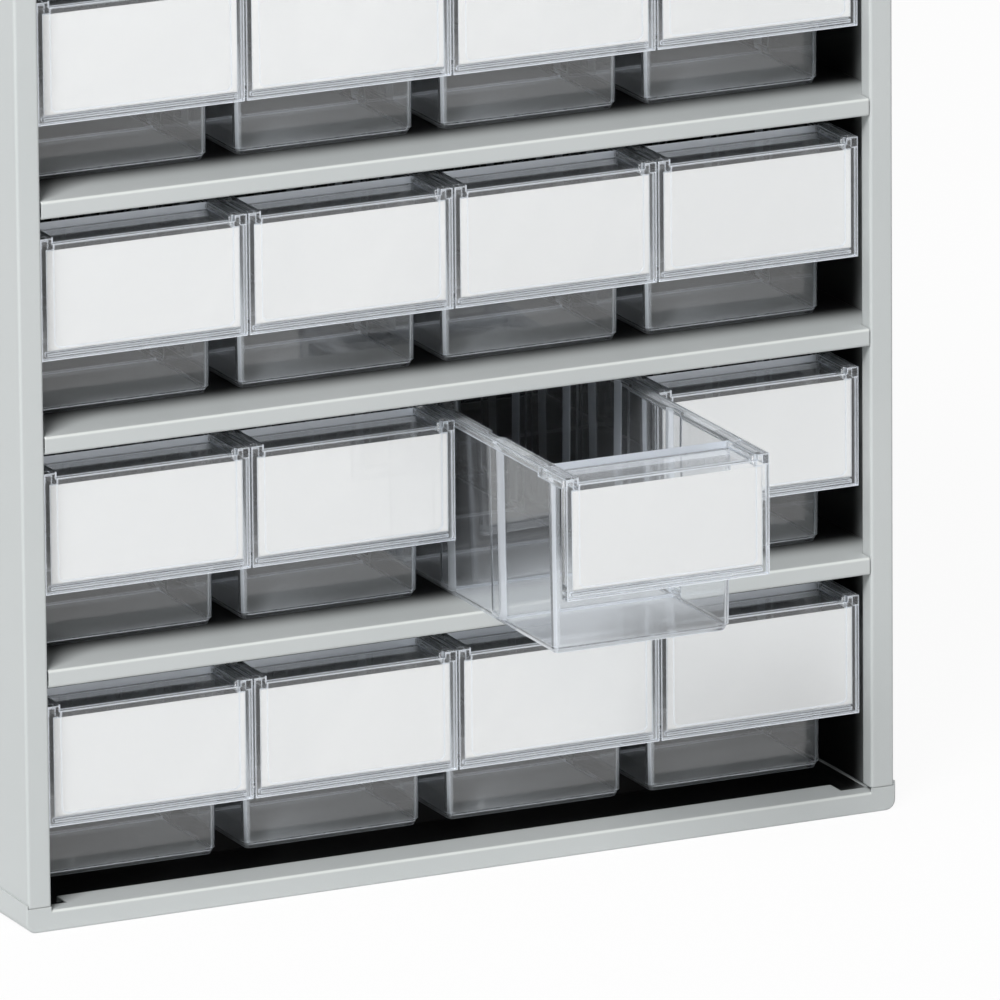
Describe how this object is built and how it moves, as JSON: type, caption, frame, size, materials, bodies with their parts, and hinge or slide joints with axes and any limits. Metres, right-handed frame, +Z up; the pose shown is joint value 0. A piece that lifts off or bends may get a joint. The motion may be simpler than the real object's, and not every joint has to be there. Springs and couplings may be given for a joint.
{
  "type": "parts bin cabinet",
  "caption": "Desktop parts cabinet: a folded light-grey steel case with rows of clear pull-out drawers, each with a blank label card, one drawer pulled out.",
  "frame": {"origin": "centre of the footprint, on the surface that the cabinet stands on", "axes": "+Z up; the drawers pull out towards -Y, so the front faces -Y; +X is to the right as seen from the front"},
  "size_m": [0.4028, 0.3994, 0.4138],
  "materials": {
    "steel": "light grey powder coat, satin, very fine orange peel",
    "clear_plastic": "clear glossy moulded plastic",
    "label_card": "plain matt white card"
  },
  "bodies": {
    "cabinet": {"left_side_panel": "steel", "right_side_panel": "steel", "top_panel": "steel", "bottom_panel": "steel", "bottom_deck": "steel", "back_panel": "steel", "shelf_1": "steel", "shelf_2": "steel", "shelf_3": "steel"},
    "bin_r1c1": {"drawer_r1c1": "clear_plastic", "label_r1c1": "label_card"},
    "bin_r1c2": {"drawer_r1c2": "clear_plastic", "label_r1c2": "label_card"},
    "bin_r1c3": {"drawer_r1c3": "clear_plastic", "label_r1c3": "label_card"},
    "bin_r1c4": {"drawer_r1c4": "clear_plastic", "label_r1c4": "label_card"},
    "bin_r2c1": {"drawer_r2c1": "clear_plastic", "label_r2c1": "label_card"},
    "bin_r2c2": {"drawer_r2c2": "clear_plastic", "label_r2c2": "label_card"},
    "bin_r2c3": {"drawer_r2c3": "clear_plastic", "label_r2c3": "label_card"},
    "bin_r2c4": {"drawer_r2c4": "clear_plastic", "label_r2c4": "label_card"},
    "bin_r3c1": {"drawer_r3c1": "clear_plastic", "label_r3c1": "label_card"},
    "bin_r3c2": {"drawer_r3c2": "clear_plastic", "label_r3c2": "label_card"},
    "bin_r3c3": {"drawer_r3c3": "clear_plastic", "label_r3c3": "label_card"},
    "bin_r3c4": {"drawer_r3c4": "clear_plastic", "label_r3c4": "label_card"},
    "bin_r4c1": {"drawer_r4c1": "clear_plastic", "label_r4c1": "label_card"},
    "bin_r4c2": {"drawer_r4c2": "clear_plastic", "label_r4c2": "label_card"},
    "bin_r4c3": {"drawer_r4c3": "clear_plastic", "label_r4c3": "label_card"},
    "bin_r4c4": {"drawer_r4c4": "clear_plastic", "label_r4c4": "label_card"}
  },
  "joints": [
    {"name": "slide_r1c1", "type": "slide", "parent": "cabinet", "child": "bin_r1c1", "axis": [0, -1, 0], "range_m": [0, 0.22]},
    {"name": "slide_r1c2", "type": "slide", "parent": "cabinet", "child": "bin_r1c2", "axis": [0, -1, 0], "range_m": [0, 0.22]},
    {"name": "slide_r1c3", "type": "slide", "parent": "cabinet", "child": "bin_r1c3", "axis": [0, -1, 0], "range_m": [0, 0.22]},
    {"name": "slide_r1c4", "type": "slide", "parent": "cabinet", "child": "bin_r1c4", "axis": [0, -1, 0], "range_m": [0, 0.22]},
    {"name": "slide_r2c1", "type": "slide", "parent": "cabinet", "child": "bin_r2c1", "axis": [0, -1, 0], "range_m": [0, 0.22]},
    {"name": "slide_r2c2", "type": "slide", "parent": "cabinet", "child": "bin_r2c2", "axis": [0, -1, 0], "range_m": [0, 0.22]},
    {"name": "slide_r2c3", "type": "slide", "parent": "cabinet", "child": "bin_r2c3", "axis": [0, -1, 0], "range_m": [0, 0.22]},
    {"name": "slide_r2c4", "type": "slide", "parent": "cabinet", "child": "bin_r2c4", "axis": [0, -1, 0], "range_m": [0, 0.22]},
    {"name": "slide_r3c1", "type": "slide", "parent": "cabinet", "child": "bin_r3c1", "axis": [0, -1, 0], "range_m": [0, 0.22]},
    {"name": "slide_r3c2", "type": "slide", "parent": "cabinet", "child": "bin_r3c2", "axis": [0, -1, 0], "range_m": [0, 0.22]},
    {"name": "slide_r3c3", "type": "slide", "parent": "cabinet", "child": "bin_r3c3", "axis": [0, -1, 0], "range_m": [-0.106, 0.114]},
    {"name": "slide_r3c4", "type": "slide", "parent": "cabinet", "child": "bin_r3c4", "axis": [0, -1, 0], "range_m": [0, 0.22]},
    {"name": "slide_r4c1", "type": "slide", "parent": "cabinet", "child": "bin_r4c1", "axis": [0, -1, 0], "range_m": [0, 0.22]},
    {"name": "slide_r4c2", "type": "slide", "parent": "cabinet", "child": "bin_r4c2", "axis": [0, -1, 0], "range_m": [0, 0.22]},
    {"name": "slide_r4c3", "type": "slide", "parent": "cabinet", "child": "bin_r4c3", "axis": [0, -1, 0], "range_m": [0, 0.22]},
    {"name": "slide_r4c4", "type": "slide", "parent": "cabinet", "child": "bin_r4c4", "axis": [0, -1, 0], "range_m": [0, 0.22]}
  ]
}
